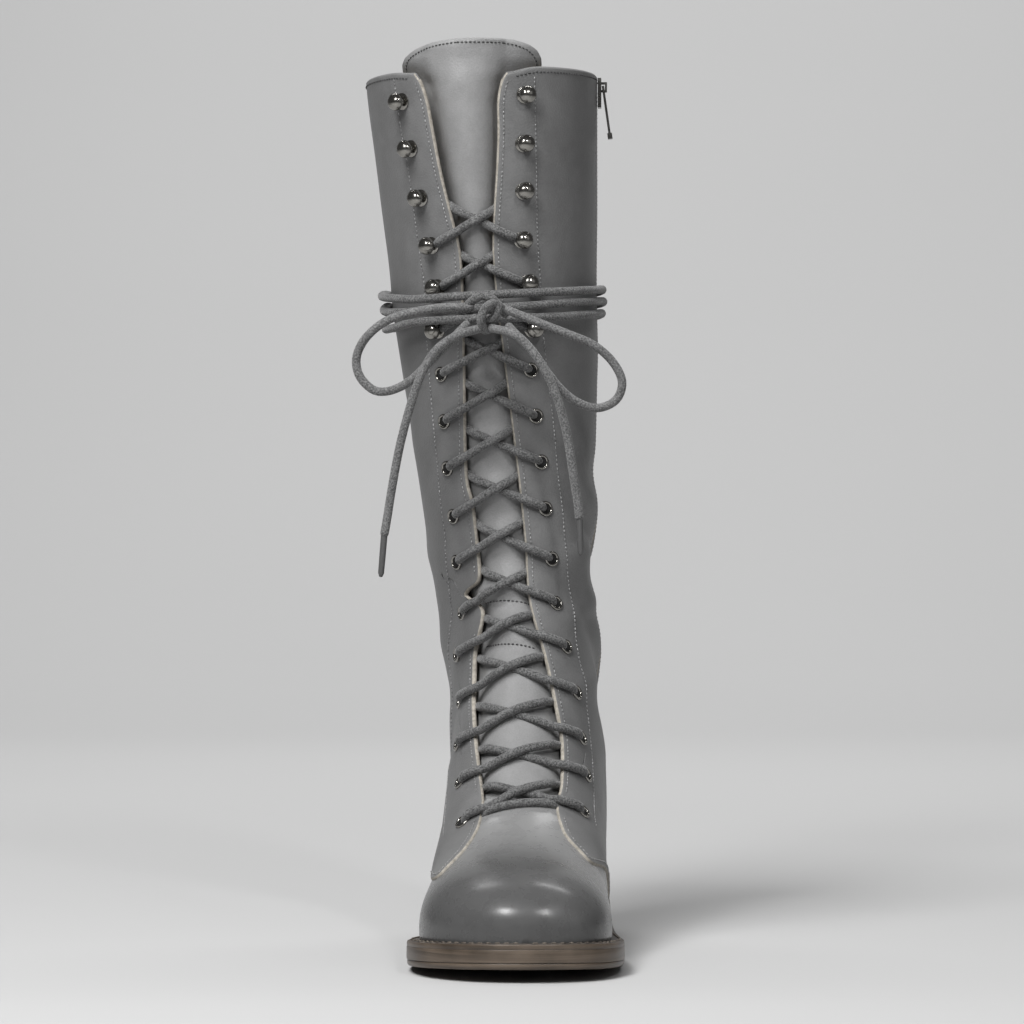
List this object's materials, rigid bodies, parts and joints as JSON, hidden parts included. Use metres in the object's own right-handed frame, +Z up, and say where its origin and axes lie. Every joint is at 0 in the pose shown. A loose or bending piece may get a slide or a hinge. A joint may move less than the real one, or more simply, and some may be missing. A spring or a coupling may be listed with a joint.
{
  "type": "knee-high lace-up boot",
  "caption": "Right knee-high lace-up boot with a stacked heel, open throat over a tongue, hooks and eyelets, a lace wound round the shaft and tied in a bow, and an inner side zip.",
  "frame": {"origin": "on the floor under the middle of the heel, in the heel's rest face", "axes": "+Z up the shaft, -Y towards the toe, +X towards the inner side with the zip"},
  "size_m": [0.1337, 0.2956, 0.4484],
  "materials": {
    "leather": "smooth mid-grey leather with a soft sheen",
    "lining": "matt natural lining leather",
    "welt": "dark welt leather",
    "sole_edge": "stacked leather edge, waxed",
    "heel_rubber": "matt rubber",
    "nickel": "polished nickel",
    "lace": "heathered waxed cord",
    "aglet": "dark grey tips",
    "zip_tape": "woven tape"
  },
  "bodies": {
    "boot": {"upper": "leather", "tongue": "leather", "insole": "lining", "welt": "welt", "midsole": "sole_edge", "outsole": "sole_edge", "heel_stack": "sole_edge", "heel_lift": "heel_rubber", "zip_tape": "zip_tape", "zip_teeth": "nickel", "zip_slider": "nickel", "eyelet_01_outer": "nickel", "eyelet_01_inner": "nickel", "eyelet_02_outer": "nickel", "eyelet_02_inner": "nickel", "eyelet_03_outer": "nickel", "eyelet_03_inner": "nickel", "eyelet_04_outer": "nickel", "eyelet_04_inner": "nickel", "eyelet_05_outer": "nickel", "eyelet_05_inner": "nickel", "eyelet_06_outer": "nickel", "eyelet_06_inner": "nickel", "eyelet_07_outer": "nickel", "eyelet_07_inner": "nickel", "eyelet_08_outer": "nickel", "eyelet_08_inner": "nickel", "eyelet_09_outer": "nickel", "eyelet_09_inner": "nickel", "eyelet_10_outer": "nickel", "eyelet_10_inner": "nickel", "eyelet_11_outer": "nickel", "eyelet_11_inner": "nickel", "hook_01_outer": "nickel", "hook_01_inner": "nickel", "hook_02_outer": "nickel", "hook_02_inner": "nickel", "hook_03_outer": "nickel", "hook_03_inner": "nickel", "hook_04_outer": "nickel", "hook_04_inner": "nickel", "hook_05_outer": "nickel", "hook_05_inner": "nickel", "hook_06_outer": "nickel", "hook_06_inner": "nickel", "lace_crossings": "lace", "lace_wrap_1": "lace", "lace_wrap_2": "lace", "lace_wrap_3": "lace", "lace_knot": "lace", "lace_loop_outer": "lace", "lace_loop_inner": "lace", "lace_end_outer": "lace", "lace_end_inner": "lace", "aglet_outer": "aglet", "aglet_inner": "aglet"},
    "pull": {"zip_pull": "nickel"}
  },
  "joints": [
    {"name": "zip_pull_hinge", "type": "hinge", "parent": "boot", "child": "pull", "pos_m": [0.03918, -0.00976, 0.43049], "axis": [0, -1, 0], "range_deg": [0, 150]}
  ]
}
